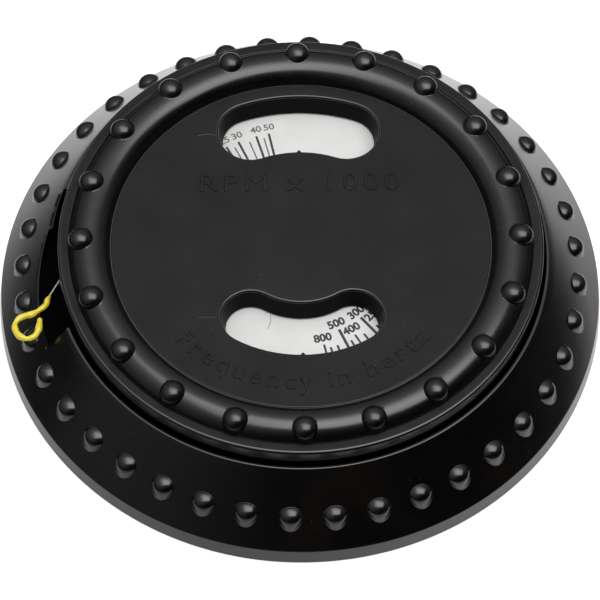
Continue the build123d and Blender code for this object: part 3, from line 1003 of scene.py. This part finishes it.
def cap_material(r, z, flat_top):
    """Index of the cap's material: 1 on its satin flat tops, 2 on the windows' walls, where a dull black
    paints their shade, else 0.
    """
    near, windows_in, windows_out = 0.02, 7.2, FACE_R - 0.5
    on_face = r < FACE_R + near and abs(z - FACE_Z) < near
    on_ledge = r > RIM_OUT and abs(z - LEDGE_Z) < near
    on_pointer = abs(z - FACE_Z + MOUTH_R) < near
    in_window = windows_in < r < windows_out and CAP_UNDER - near < z < FACE_Z - MOUTH_R + near
    if flat_top and (on_face or on_ledge or on_pointer):
        return 1
    return 2 if in_window else 0


# Wire
def tube_mesh(name, path, radii, around):
    """Round tube along points, closed at its ends."""
    path = np.array(path, float)
    ahead = unit(np.gradient(path, axis=0))
    side = unit(np.cross(ahead, np.array([0.0, 0.0, 1.0])))
    upward = np.cross(side, ahead)
    points = [tuple(path[0])]
    for p, s, u, r in zip(path, side, upward, radii):
        for k in range(around):
            a = 2 * math.pi * k / around
            points.append(tuple(p + (s * math.cos(a) + u * math.sin(a)) * r))
    points.append(tuple(path[-1]))
    last = len(points) - 1
    end_ring = last - around
    faces = [(0, 1 + (k + 1) % around, 1 + k) for k in range(around)]
    faces += ring_faces(len(path), around, start=1)
    faces += [(last, end_ring + k, end_ring + (k + 1) % around) for k in range(around)]
    item = new_object(name, points, faces)
    tidy_mesh(item, 1e-9)
    return item


def smooth_path(points, count):
    """Even points on a Catmull-Rom curve through points, and its length."""
    p = np.array(points, float)
    p = np.vstack([2 * p[0] - p[1], p, 2 * p[-1] - p[-2]])
    out = []
    for i in range(1, len(p) - 2):
        for t in np.linspace(0, 1, PATH_STEPS, endpoint=False):
            out.append(0.5 * (2 * p[i] + (p[i + 1] - p[i - 1]) * t
                              + (2 * p[i - 1] - 5 * p[i] + 4 * p[i + 1] - p[i + 2]) * t ** 2
                              + (3 * p[i] - p[i - 1] - 3 * p[i + 1] + p[i + 2]) * t ** 3))
    out.append(p[-2])
    out = np.array(out)
    length = np.concatenate([[0], np.cumsum(np.linalg.norm(np.diff(out, axis=0), axis=1))])
    even = np.linspace(0, length[-1], count)
    return np.stack([np.interp(even, length, out[:, k]) for k in range(out.shape[1])], axis=1), length[-1]


def painted_loop():
    """Dipped eye at the wire's end: paint of uneven thickness, thin at the wire and round at its end."""
    path, length = smooth_path([(x, y, WIRE_Z) for x, y in LOOP], 150)
    along = np.linspace(0, length, len(path))
    thick = PAINT_R + PAINT_LONG_SWELL * np.sin(along * 1.9 + 0.6) + PAINT_SHORT_SWELL * np.sin(along * 4.3)
    thick *= np.clip(PAINT_START + along / PAINT_RUN, 0, 1)
    end_round = np.clip((length - along) / PAINT_END_R, 0, 1)
    thick *= np.sqrt(np.clip(1 - (1 - end_round) ** 2, 0.0004, 1))
    item = tube_mesh("painted_loop", path, thick, 28)
    dress(item, enamel)
    finish_mesh(item, 80)
    return item


def wear_mark(name, path, level, radius, material, body):
    """Fine line of wear or dirt, half sunk in the surface it lies on."""
    points = smooth_path([(x, y, level) for x, y in path], 40)[0]
    item = tube_mesh(name, points, [radius] * len(points), 8)
    dress(item, material)
    finish_mesh(item, 80)
    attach(item, body)


# Stage and light
def white_floor():
    """Pale table: white behind the object, and its soft shadow kept; in mirror images it shows a painted pool
    of light that glows round the object and fades to dark further off.
    """
    corners = [(x * TABLE_HALF, y * TABLE_HALF, 0) for x, y in ((-1, -1), (1, -1), (1, 1), (-1, 1))]
    mesh = bpy.data.meshes.new("table")
    mesh.from_pydata(corners, [], [(0, 1, 2, 3)])
    floor = bpy.data.objects.new("table", mesh)
    bpy.context.scene.collection.objects.link(floor)
    m = Nodes("table_white")
    path = m.add("ShaderNodeLightPath")
    sheet = m.mix(m.noise(30, 3, 0.5), (0.80, 0.80, 0.80), (0.84, 0.84, 0.84))
    away = m.add("ShaderNodeVectorMath", operation="DISTANCE")
    m.link(m.coords.outputs["Object"], away.inputs[0])
    away.inputs[1].default_value = POOL_CENTRE
    # Painted reflection: in mirror images the table glows as a pool of light round the object, dark further
    # off.
    pool = m.grey(m.math("MULTIPLY", away.outputs["Value"], POOL_PER_METRE), PAINTED_POOL)
    mirrored = path.outputs["Is Glossy Ray"]
    m.set(base=m.mix(mirrored, sheet, pool), rough=0.9, specular=0.0)
    m.shader.inputs["Emission Color"].default_value = (1, 1, 1, 1)
    glow = m.math("MULTIPLY", m.math("MULTIPLY", mirrored, pool), PAINTED_POOL_GLOW)
    glow = m.math("ADD", glow, m.math("MULTIPLY", path.outputs["Is Camera Ray"], TABLE_GLOW))
    m.link(glow, m.shader.inputs["Emission Strength"])
    mesh.materials.append(m.material)


def softbox():
    """Overhead light made of nested panels, bright in the middle and fading at its edges."""
    for index, (left, right, near, far) in enumerate(SOFTBOX_PANELS):
        data = bpy.data.lights.new(f"overhead_{index}", "AREA")
        data.shape = "RECTANGLE"
        data.size, data.size_y = right - left, far - near
        data.energy = SOFTBOX_RADIANCE * math.pi * data.size * data.size_y
        lamp = bpy.data.objects.new(data.name, data)
        lamp.location = ((left + right) / 2, (near + far) / 2, SOFTBOX_Z + SOFTBOX_STEP * index)
        bpy.context.scene.collection.objects.link(lamp)


def make_world():
    """Dim room, fading from overhead to the horizon and darker on the camera's side; white to the camera."""
    world = bpy.data.worlds.new("studio")
    world.use_nodes = True
    tree = world.node_tree
    new, link = tree.nodes.new, tree.links.new
    background = tree.nodes["Background"]
    coords = new("ShaderNodeTexCoord")
    split = new("ShaderNodeSeparateXYZ")
    link(coords.outputs["Generated"], split.inputs["Vector"])
    side = new("ShaderNodeVectorMath")
    side.operation = "DOT_PRODUCT"
    side.inputs[1].default_value = WORLD_SIDE
    link(coords.outputs["Generated"], side.inputs[0])
    lift = new("ShaderNodeMath")
    lift.operation = "ADD"
    lift.inputs[1].default_value = WORLD_MIDDLE
    link(side.outputs["Value"], lift.inputs[0])
    total = new("ShaderNodeVectorMath")
    total.operation = "MULTIPLY"
    link(grey_ramp(tree, split.outputs["Z"], WORLD_BY_HEIGHT), total.inputs[0])
    link(grey_ramp(tree, lift.outputs[0], WORLD_BY_SIDE), total.inputs[1])
    link(total.outputs[0], background.inputs["Color"])
    path = new("ShaderNodeLightPath")
    white = new("ShaderNodeBackground")
    white.inputs["Color"].default_value = (1, 1, 1, 1)
    mixer = new("ShaderNodeMixShader")
    link(path.outputs["Is Camera Ray"], mixer.inputs["Fac"])
    link(background.outputs[0], mixer.inputs[1])
    link(white.outputs[0], mixer.inputs[2])
    link(mixer.outputs[0], tree.nodes["World Output"].inputs["Surface"])
    bpy.context.scene.world = world


def make_camera():
    """Camera where the photo was taken from."""
    data = bpy.data.cameras.new("camera")
    data.lens = CAMERA_LENS
    data.sensor_width = CAMERA_SENSOR
    data.clip_start = CAMERA_CLIP
    camera = bpy.data.objects.new("camera", data)
    camera.location = CAMERA
    camera.rotation_mode = "QUATERNION"
    roll = Matrix.Rotation(math.radians(CAMERA_ROLL), 3, "Z").to_quaternion()
    camera.rotation_quaternion = (-CAMERA).to_track_quat("-Z", "Y") @ roll
    bpy.context.scene.collection.objects.link(camera)
    bpy.context.scene.camera = camera
    bpy.context.scene.view_settings.view_transform = "Standard"


# Materials of the pieces
cap_black = black_moulding("cap_black", 0.2, base=0.001)
face_black = black_moulding("face_black", 0.5, base=0.009, scuff=1.0, specular=0.12, grain=0.3)
# The windows' walls get a dull black that paints the shade inside the windows.
window_wall_painted_shade = black_moulding("window_wall_painted_shade", 0.5, base=0.001, scuff=0.1, specular=0.05)
# The slot and the inside floor get a near black without gloss that paints the shade in them.
slot_painted_shade = black_moulding("slot_painted_shade", 0.6, base=0.0006, scuff=0.0, specular=0.01)
base_black = black_moulding("base_black", 0.15, base=0.001, brown=0.2)
paper = paper_white()
ink_dark = ink("ink_dark", 0.02)
ink_grey = ink("ink_grey", 0.12)
steel = drawn_metal("spring_steel", (0.72, 0.71, 0.68), 0.3, (150, 150, 3000))
zinc = drawn_metal("zinc_plate", (0.74, 0.75, 0.76), 0.28)
turned_brass = drawn_metal("turned_brass", (0.80, 0.60, 0.27), 0.3)
enamel = enamel_yellow()
scuffed = ink("scuffed_line", 0.05)
fibre = ink("fibre", 0.12)

# Base
base = make_base()
dress(base, base_black, slot_painted_shade)
for face in base.data.polygons:
    face.material_index = base_material(math.hypot(face.center.x, face.center.y) / MM, face.center.z / MM)
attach(base, "base")
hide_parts("base_housing")

# Cap
cap = make_cap()
dress(cap, cap_black, face_black, window_wall_painted_shade)
for face in cap.data.polygons:
    reach = math.hypot(face.center.x, face.center.y) / MM
    face.material_index = cap_material(reach, face.center.z / MM, face.normal.z > 0.995)
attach(cap, "dial")
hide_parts("dial_cap")
relief("speed_words", "RPM x 1000", SPEED_WORDS_H, SPEED_WORDS_W, SPEED_WORDS_AT)
relief("frequency_words", "Frequency in hertz", FREQUENCY_WORDS_H, FREQUENCY_WORDS_W, FREQUENCY_WORDS_AT,
       curved=True)

# Scale, and the solids that show as they are
print_scale()
for node, material in (("scale_disc", paper), ("stop_pin", zinc), ("exit_guide", turned_brass),
                       ("reed_coil", steel), ("pivot_insert", turned_brass), ("pivot_screw", zinc),
                       ("pivot_washer", zinc), ("spring_washer", steel)):
    dress(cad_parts[node], material)

# Straight wire and its painted eye
straight = [tuple(np.array(exit_point) + np.array(exit_way) * BARE_L * t) for t in np.linspace(0, 1, 90)]
wire = tube_mesh("bare_wire", straight, [WIRE_D / 2] * len(straight), 16)
dress(wire, steel)
finish_mesh(wire)
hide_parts("reed_tip")
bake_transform(wire)
loop = painted_loop()
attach(loop, "wire")
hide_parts("marker_loop")

# Wear and dirt
wear_mark("scratch_upper", SCRATCH_UPPER, FACE_Z, SCRATCH_R, scuffed, "dial")
wear_mark("scratch_lower", SCRATCH_LOWER, FACE_Z, SCRATCH_R, scuffed, "dial")
wear_mark("hair", HAIR, SCALE_TOP + HAIR_LIFT, HAIR_R, fibre, "base")

white_floor()
make_world()
softbox()
make_camera()
